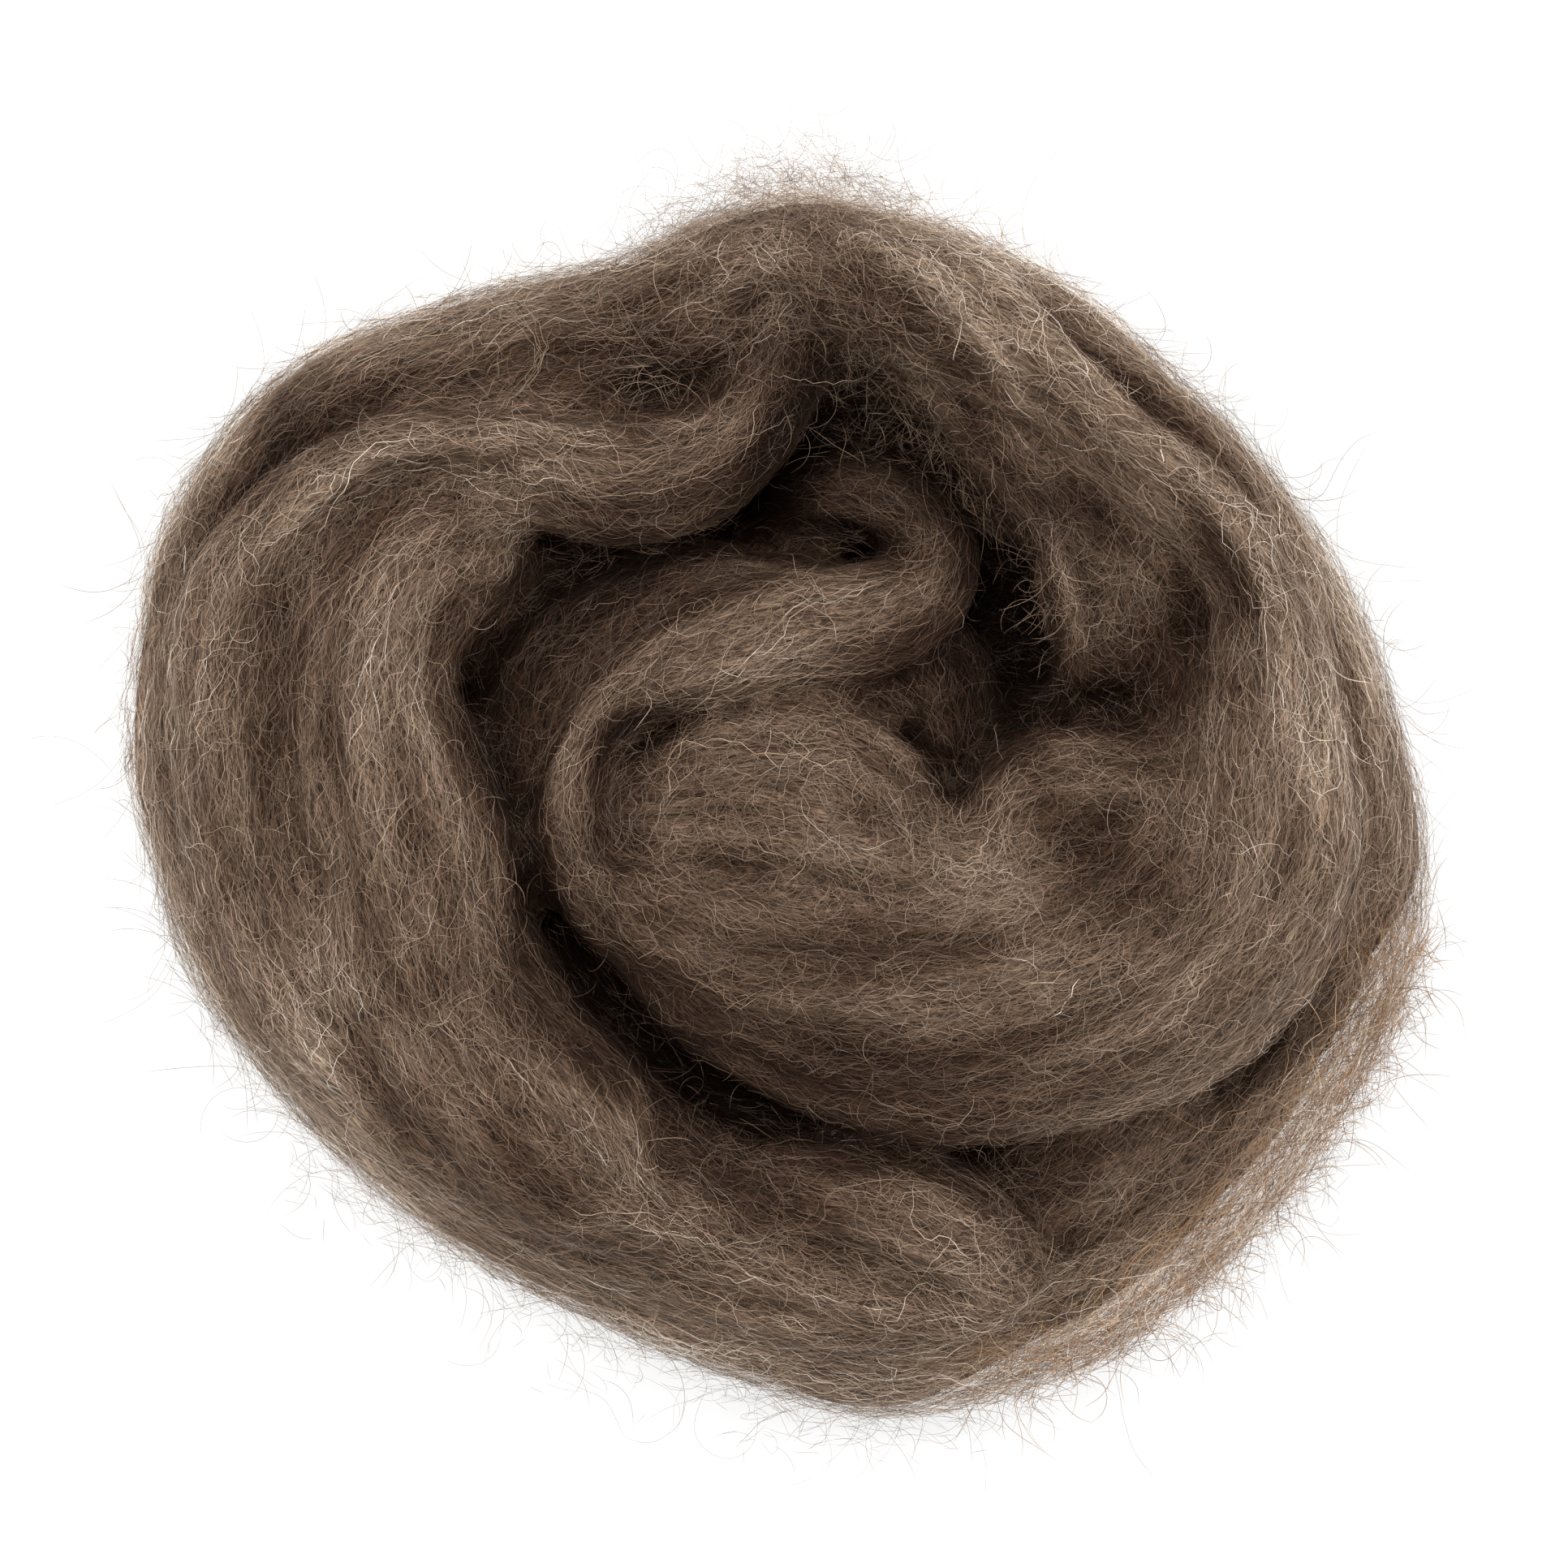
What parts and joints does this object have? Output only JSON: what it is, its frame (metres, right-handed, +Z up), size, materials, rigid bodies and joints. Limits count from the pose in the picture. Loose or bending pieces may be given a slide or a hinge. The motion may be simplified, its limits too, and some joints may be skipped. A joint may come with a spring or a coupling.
{
  "type": "wool roving",
  "caption": "Loose nest of combed natural taupe-brown wool roving, wound by hand in thick soft turns and resting flat, for felting or spinning.",
  "frame": {"origin": "on the table, under the middle of the nest's outline", "axes": "+Z up off the table; +X along the nest's longest width, +Y across it"},
  "size_m": [0.1499, 0.141, 0.05],
  "materials": {
    "wool": "matte combed wool, taupe brown with paler and darker hairs"
  },
  "bodies": {
    "root": {"roving": "wool"}
  },
  "joints": []
}
